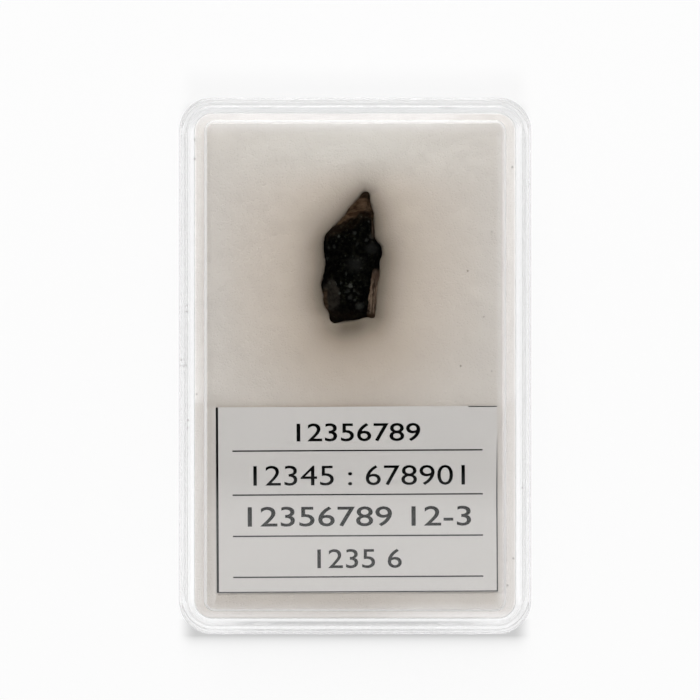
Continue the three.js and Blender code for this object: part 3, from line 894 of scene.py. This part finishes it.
class Recipe:
    """A short way to write a node tree: nodes by type, values by socket name, links by socket.

    A colour is three numbers, and gets its full opacity where it is fed to a socket.
    """

    def __init__(self, holder):
        holder.use_nodes = True
        self.holder = holder
        self.tree = holder.node_tree
        self.surface = self.tree.nodes.get("Principled BSDF") or self.tree.nodes["Background"]

    def node(self, kind, values=None, **settings):
        """A new node of a kind, with its settings made and its sockets fed."""
        made = self.tree.nodes.new("ShaderNode" + kind)
        for setting, value in settings.items():
            setattr(made, setting, value)
        for socket, value in (values or {}).items():
            self.feed(made.inputs[socket], value)
        return made

    def feed(self, socket, value):
        """Links a socket to the one that is given, or sets its value."""
        if isinstance(value, bpy.types.NodeSocket):
            self.tree.links.new(value, socket)
        elif socket.type == "RGBA":
            socket.default_value = (*value, 1)
        else:
            socket.default_value = value

    def finish(self, **values):
        """Feeds the surface's sockets, with _ for each space in their names, and gives back its holder."""
        for socket, value in values.items():
            self.feed(self.surface.inputs[socket.replace("_", " ")], value)
        return self.holder

    def where(self):
        """The place on the piece, in metres."""
        return self.node("TexCoord").outputs["Object"]

    def stretched(self, **values):
        """The place on the piece, turned by a rotation and scaled along each axis."""
        return self.node("Mapping", {"Vector": self.where(), **values}).outputs["Vector"]

    def parts(self, vector):
        """A vector's x, y and z."""
        return self.node("SeparateXYZ", {0: vector}).outputs

    def attribute(self, name):
        """A number that the piece's mesh stores under a name."""
        return self.node("Attribute", attribute_name=name).outputs["Fac"]

    def noise(self, size_mm, detail=3.0, where=None):
        """Noise whose cells are about a size in millimetres."""
        values = {"Vector": where or self.where(), "Scale": 1 / (size_mm * MM), "Detail": detail,
                  "Roughness": 0.55}
        return self.node("TexNoise", values).outputs["Fac"]

    def cells(self, size_mm):
        """How far a place is from the nearest of scattered points about a size in millimetres apart."""
        values = {"Vector": self.where(), "Scale": 1 / (size_mm * MM)}
        return self.node("TexVoronoi", values).outputs["Distance"]

    def band(self, value, low, high, to_low=0.0, to_high=1.0):
        """Maps a value smoothly from low..high to to_low..to_high."""
        values = {"Value": value, "From Min": low, "From Max": high, "To Min": to_low, "To Max": to_high}
        return self.node("MapRange", values, interpolation_type="SMOOTHSTEP").outputs["Result"]

    def fade(self, value, start_mm, end_mm, after=0.0):
        """1 before a start, and falling smoothly to what it is after an end."""
        return self.band(value, start_mm * MM, end_mm * MM, 1.0, after)

    def strip(self, value, rise_mm, fall_mm, height, after=0.0):
        """0, then a height between a rising and a falling edge, then a share of the height."""
        rising = self.band(value, rise_mm[0] * MM, rise_mm[1] * MM, 0.0, height)
        return self.times(rising, self.fade(value, *fall_mm, after))

    def math(self, operation, first, second=0.0):
        """One sum on one or two values."""
        return self.node("Math", {0: first, 1: second}, operation=operation).outputs[0]

    times = partialmethod(math, "MULTIPLY")
    plus = partialmethod(math, "ADD")
    minus = partialmethod(math, "SUBTRACT")
    larger = partialmethod(math, "MAXIMUM")

    def mix(self, share, first, second):
        """The first colour, with a share of the second laid over it."""
        return self.node("Mix", {0: share, 6: first, 7: second}, data_type="RGBA").outputs[2]

    def spots(self, places):
        """1 inside any of some small round spots, each a middle x and y and a radius in millimetres."""
        total = 0.0
        x, y, _ = self.parts(self.where())
        for middle_x, middle_y, radius in places:
            away_x, away_y = self.minus(x, middle_x * MM), self.minus(y, middle_y * MM)
            squared = self.plus(self.times(away_x, away_x), self.times(away_y, away_y))
            spot = self.fade(self.math("SQRT", squared), radius * 0.5, radius * 1.2)
            total = self.larger(total, spot)
        return total

    def bump(self, height, distance_mm, strength, under=None):
        """A relief of a height, laid over the one under it."""
        values = {"Height": height, "Distance": distance_mm * MM, "Strength": strength}
        if under is not None:
            values["Normal"] = under
        return self.node("Bump", values).outputs["Normal"]


POLYSTYRENE_IOR = 1.59
CLEAR_TINT = (0.965, 0.967, 0.967)
HAZY_TINT = (0.985, 0.985, 0.987)
HAZE = 0.12
# The panel's frosted, mostly opaque whitish edge is a painted highlight for the bright line along it.
FROSTED_HIGHLIGHT_TINT = (0.97, 0.955, 0.95)
FROST = 0.3
DUST = (0.35, 0.34, 0.33)


def clear_plastic(name, tint, roughness, clearness=1.0, dust=()):
    """Clear polystyrene, with some dust: plain transmission, which lets the light through to the inside."""
    recipe = Recipe(bpy.data.materials.new(name))
    color = tint
    if dust:
        color = recipe.mix(recipe.times(recipe.spots(dust), 0.6), tint, DUST)
    material = recipe.finish(
        Base_Color=color, Roughness=roughness, IOR=POLYSTYRENE_IOR, Transmission_Weight=clearness,
    )
    lamp_ray = recipe.node("LightPath").outputs["Is Shadow Ray"]
    clear = recipe.node("BsdfTransparent", {"Color": tint}).outputs["BSDF"]
    share = recipe.node("MixShader", {0: lamp_ray, 1: recipe.surface.outputs["BSDF"], 2: clear})
    recipe.feed(recipe.tree.nodes["Material Output"].inputs["Surface"], share.outputs["Shader"])
    return material


FOAM_DULL = (0.580, 0.543, 0.504)
FOAM_PALE = (0.617, 0.577, 0.533)
FOAM_SPECK = (0.12, 0.10, 0.07)
# The foam's other colours, laid over one another in this order by the pad's attributes of the same names:
# a warm tint, painted light at the far end, painted light by the edges, a brown stain with painted shade,
# and painted contact shade near the stone.
FOAM_SHADES = {
    "warm": (0.580, 0.506, 0.433),
    # painted light at the far end
    "light": (0.672, 0.640, 0.592),
    # painted light by the edges and beside the label
    "clean": (0.90, 0.882, 0.872),
    # brown stain with painted shade round and below the stone
    "stained": (0.25, 0.195, 0.14),
    # painted contact shade near the stone
    "close": (0.06, 0.047, 0.029),
}


def foam_white():
    """Soft white foam: a slow mottling, stains with painted shade and painted light laid over it, a few
    specks, and fine cells and fuzz in relief.
    """
    recipe = Recipe(bpy.data.materials.new("white foam"))
    color = recipe.mix(recipe.noise(2.2), FOAM_DULL, FOAM_PALE)
    for name, shade in FOAM_SHADES.items():
        color = recipe.mix(recipe.attribute(name), color, shade)
    color = recipe.mix(recipe.times(recipe.spots(FOAM_SPECKS), 0.7), color, FOAM_SPECK)
    pores = recipe.bump(recipe.band(recipe.cells(0.28), 0.1, 0.5), 0.04, 0.5)
    fuzz = recipe.bump(recipe.noise(0.5, detail=4.0), 0.06, 0.5, under=pores)
    return recipe.finish(Base_Color=color, Roughness=0.95, Specular_IOR_Level=0.2, Normal=fuzz)


PAPER_DULL, PAPER_PALE = (0.564, 0.543, 0.524), (0.598, 0.577, 0.558)
INK_BLACK, INK_GREY = (0.0005, 0.0005, 0.0006), (0.004, 0.004, 0.004)


def paper_white():
    """Matt copy paper: faint fibres in colour and in relief."""
    recipe = Recipe(bpy.data.materials.new("label paper"))
    fibres = recipe.noise(0.35, detail=4.0)
    color = recipe.mix(fibres, PAPER_DULL, PAPER_PALE)
    relief = recipe.bump(fibres, 0.01, 0.5)
    return recipe.finish(Base_Color=color, Roughness=0.8, Specular_IOR_Level=0.3, Normal=relief)


def label_ink():
    """Black toner, slightly uneven."""
    recipe = Recipe(bpy.data.materials.new("label ink"))
    color = recipe.mix(recipe.noise(0.25), INK_BLACK, INK_GREY)
    return recipe.finish(Base_Color=color, Roughness=0.8, Specular_IOR_Level=0.0)


MATRIX_BLACK, MATRIX_GREY = (0.0001, 0.0001, 0.0001), (0.0038, 0.0038, 0.0024)
FLECK = (0.0098, 0.0107, 0.0072)
BEAD = (0.013, 0.014, 0.010)
PALE_GRAIN = (0.055, 0.057, 0.050)
BRUISE = (0.0198, 0.0172, 0.0135)
SKIN_BROWN, SKIN_TAN = (0.023, 0.0125, 0.0062), (0.062, 0.039, 0.0235)
STREAK_BROWN, STREAK_TAN, STREAK_PALE = (0.04, 0.026, 0.018), (0.07, 0.047, 0.034), (0.165, 0.118, 0.083)


def broken_stone(recipe, grain):
    """The colour of fresh broken stone: a black matrix, grey flecks in patches, and small round beads."""
    matrix = recipe.mix(recipe.band(grain, 0.42, 0.7), MATRIX_BLACK, MATRIX_GREY)
    patches = recipe.band(recipe.noise(2.6), 0.42, 0.6, 0.1, 0.7)
    flecks = recipe.times(recipe.band(recipe.noise(0.36, detail=2.0), 0.55, 0.7), patches)
    flecked = recipe.mix(flecks, matrix, FLECK)
    beads = recipe.band(recipe.cells(0.75), 0.16, 0.26, 1.0, 0.0)
    some_beads = recipe.times(beads, recipe.band(recipe.noise(1.9), 0.5, 0.62))
    return recipe.mix(recipe.times(some_beads, 0.6), flecked, BEAD)


def weathered_skin(recipe):
    """The brown skin's colour, in folds that slant across the stone."""
    folds = recipe.noise(0.6, detail=4.0, where=recipe.stretched(Rotation=(0, 0, -0.42), Scale=(0.35, 1, 1)))
    return recipe.mix(recipe.band(folds, 0.36, 0.64), SKIN_BROWN, SKIN_TAN)


def tan_streaks(recipe):
    """The tan strip's colour: lines along the stone, paler low down."""
    lines = recipe.noise(0.26, where=recipe.stretched(Scale=(1, 0.14, 0.5)))
    low_down = recipe.fade(recipe.parts(recipe.where())[1], 9.4, 10.9)
    pale_line = recipe.mix(low_down, STREAK_TAN, STREAK_PALE)
    return recipe.mix(recipe.band(lines, 0.4, 0.62), STREAK_BROWN, pale_line)


def stone_black():
    """Black stone with paler chondrules, a purplish patch, brown weathered skin and a streaked tan strip."""
    recipe = Recipe(bpy.data.materials.new("meteorite stone"))
    grain = recipe.noise(0.5, detail=5.0)
    color = recipe.mix(recipe.attribute("pale"), broken_stone(recipe, grain), PALE_GRAIN)
    bruised = recipe.times(recipe.attribute("bruised"), recipe.band(grain, 0.3, 0.6, 0.45, 1.0))
    color = recipe.mix(bruised, color, BRUISE)
    color = recipe.mix(recipe.attribute("weathered"), color, weathered_skin(recipe))
    color = recipe.mix(recipe.attribute("streaked"), color, tan_streaks(recipe))
    relief = recipe.bump(recipe.noise(0.22, detail=4.0), 0.05, 0.8)
    return recipe.finish(Base_Color=color, Roughness=0.9, Specular_IOR_Level=0.0, Normal=relief)


FLOOR_GLOW = 0.912
FLOOR_GREY = (0.07, 0.07, 0.07)
# How much painted shadow dims the floor at the foot of the case's near side, under its wall and at its far
# side.
FOOT_DIM, WALL_DIM, FAR_DIM = 0.4, 0.62, 0.2
# How far outside the near side the strip under its wall rises and falls, and the one at its foot fades.
WALL_RISE, WALL_FALL = (-2.6, -2.4), (-1.45, -1.35)
FADE_START, FADE_LENGTH = 2.2, 0.65


def painted_floor_shadow(recipe):
    """Painted shadow on the floor's glow: strips along the case's near side, and a little at the far one.

    One near strip lies under the wall, and is fainter towards the corners. The other starts at the foot
    and, past 2.2 mm from it, fades as exp(-further / 0.65 mm). The far strip is faint outside the case.
    """
    x, y, _ = recipe.parts(recipe.where())
    sideways = recipe.math("ABSOLUTE", x)
    outward = recipe.minus(recipe.times(y, -1.0), HALF_LENGTH * MM)
    further = recipe.larger(recipe.minus(outward, FADE_START * MM), 0.0)
    fading = recipe.math("EXPONENT", recipe.times(further, -1 / (FADE_LENGTH * MM)))
    near = recipe.times(fading, recipe.band(outward, 0.0, 0.25 * MM, 0.0, FOOT_DIM))
    under_wall = recipe.strip(outward, WALL_RISE, WALL_FALL, WALL_DIM)
    under_wall = recipe.times(under_wall, recipe.fade(sideways, 12, 17, 0.2))
    far_edges = (HALF_LENGTH - 3, HALF_LENGTH - 2), (HALF_LENGTH, HALF_LENGTH + 1.5)
    far = recipe.strip(y, *far_edges, FAR_DIM, after=0.22)
    far = recipe.times(far, recipe.fade(y, HALF_LENGTH + 3, HALF_LENGTH + 6.5))
    strips = recipe.plus(recipe.plus(near, under_wall), far)
    return recipe.times(strips, recipe.fade(sideways, HALF_WIDTH - 1.0, HALF_WIDTH + 1.5))


def floor_white():
    """A white light table, which glows except where painted shadow dims it."""
    recipe = Recipe(bpy.data.materials.new("pale floor"))
    glow = recipe.times(recipe.minus(1.0, painted_floor_shadow(recipe)), FLOOR_GLOW)
    return recipe.finish(
        Base_Color=FLOOR_GREY, Roughness=0.9, Specular_IOR_Level=0.0,
        Emission_Color=WHITE, Emission_Strength=glow,
    )


# ---------------- camera, light and floor

CAMERA_PLACE = (-0.61, 1.88)
CAMERA_ABOVE_LID = 260.0
VIEW_WIDTH = 83.3
SENSOR = 36.0
# The window's middle in metres from the box, its width and its power in watts.
WINDOW_PLACE = (-0.02, 0.30, 0.42)
WINDOW_SIZE = 0.22
WINDOW_POWER = 0.96
# The ceiling's dark rectangle in slopes from straight up: its middle, and the span of each soft edge.
DARK_MIDDLE = 0.0022
DARK_SIDES = (0.067, 0.0695)
DARK_NEAR_END, DARK_FAR_END = (-0.08, -0.053), (0.0935, 0.1075)
FLOOR_REACH = 1500.0
FLOOR_DROP = 0.01


def aim_camera():
    """Straight down on the lid, a little off the box's middle, framed by the view's width at the lid."""
    camera = bpy.data.cameras.new("camera")
    camera.sensor_width = SENSOR
    camera.lens = SENSOR * CAMERA_ABOVE_LID / VIEW_WIDTH
    camera.clip_start = 0.01
    camera.clip_end = 20.0
    holder = linked_object("camera", camera)
    holder.location = (CAMERA_PLACE[0] * MM, CAMERA_PLACE[1] * MM, (LID_HIGH[2] + CAMERA_ABOVE_LID) * MM)
    bpy.context.scene.camera = holder


def hang_window():
    """A square soft light that looks at the box."""
    lamp = bpy.data.lights.new("window", "AREA")
    lamp.size = WINDOW_SIZE
    lamp.energy = WINDOW_POWER
    holder = linked_object("window", lamp)
    holder.location = WINDOW_PLACE
    holder.rotation_euler = Vector(WINDOW_PLACE).to_track_quat("Z", "Y").to_euler()


def light_room():
    """A soft room, brighter towards +Y, whose bright ceiling has a dark rectangle right overhead.

    The ceiling is laid out by slopes: how far a direction leans along x and y for each step up. The
    rectangle's sides and its two ends are soft edges in those slopes, past which the ceiling is lit again.
    """
    world = bpy.data.worlds.new("room")
    bpy.context.scene.world = world
    recipe = Recipe(world)
    x, y, z = recipe.parts(recipe.node("TexCoord").outputs["Generated"])
    slope_x, slope_y = recipe.math("DIVIDE", x, z), recipe.math("DIVIDE", y, z)
    aside = recipe.math("ABSOLUTE", recipe.minus(slope_x, DARK_MIDDLE))
    sides = recipe.times(recipe.band(aside, *DARK_SIDES), recipe.band(slope_y, -0.07, 0.09, 1.4, 1.0))
    far_end = recipe.band(slope_y, *DARK_FAR_END, 0.0, 0.9)
    near_end = recipe.band(slope_y, *DARK_NEAR_END, 0.7, 0.0)
    beside_rectangle = recipe.larger(sides, recipe.larger(far_end, near_end))
    lit = recipe.larger(beside_rectangle, recipe.band(z, 0.6, 0.9, 1.0, 0.005))
    ceiling = recipe.times(recipe.band(z, 0.88, 0.96, 0.42, 1.2), lit)
    towards_window = recipe.plus(recipe.times(y, 0.5), 0.9)
    horizon = recipe.times(recipe.band(z, 0.2, 0.5, 1.0, 0.0), towards_window)
    recipe.finish(Color=WHITE, Strength=recipe.larger(ceiling, horizon))


def lay_floor():
    """A wide flat sheet just under the box."""
    corners = bar(-FLOOR_REACH, -FLOOR_REACH, FLOOR_REACH, FLOOR_REACH)
    points = np.column_stack([corners, np.full(len(corners), -FLOOR_DROP)])
    floor = make_piece("floor", points, [[0, 1, 2, 3]], [floor_white()])


# ---------------- the build

def place(piece, node, slot):
    """Rides a piece on the one body, in the place of its construction node, which it hides. The slot is not
    used.
    """
    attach(piece, "root")
    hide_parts(node)


def set_render():
    """Plain colours, and enough bounces for light that goes through all the clear walls."""
    scene = bpy.context.scene
    scene.view_settings.view_transform = "Standard"
    scene.cycles.use_denoising = True
    scene.cycles.max_bounces = 24
    scene.cycles.transmission_bounces = 24
    scene.cycles.glossy_bounces = 12


def build():
    """Camera, room and floor, then the five pieces."""
    set_render()
    aim_camera()
    light_room()
    hang_window()
    lay_floor()
    hazy_tray = clear_plastic("hazy tray", HAZY_TINT, HAZE)
    clear_lid = clear_plastic("clear lid", CLEAR_TINT, 0.0)
    hazy_lid = clear_plastic("hazy lid", HAZY_TINT, HAZE, dust=LID_DUST)
    frosted_highlight_edge = clear_plastic("frosted edge", FROSTED_HIGHLIGHT_TINT, FROST, clearness=0.3)
    place(make_case_base(hazy_tray), "base_tray", "clear_tray")
    place(make_case_lid(clear_lid, hazy_lid, frosted_highlight_edge), "case_lid", "clear_lid")
    pad = make_pad(foam_white())
    place(pad, "foam_pad", "foam")
    place(make_label(paper_white(), label_ink()), "label_card", "paper")
    place(make_stone(stone_black()), "meteorite", "stone")


build()
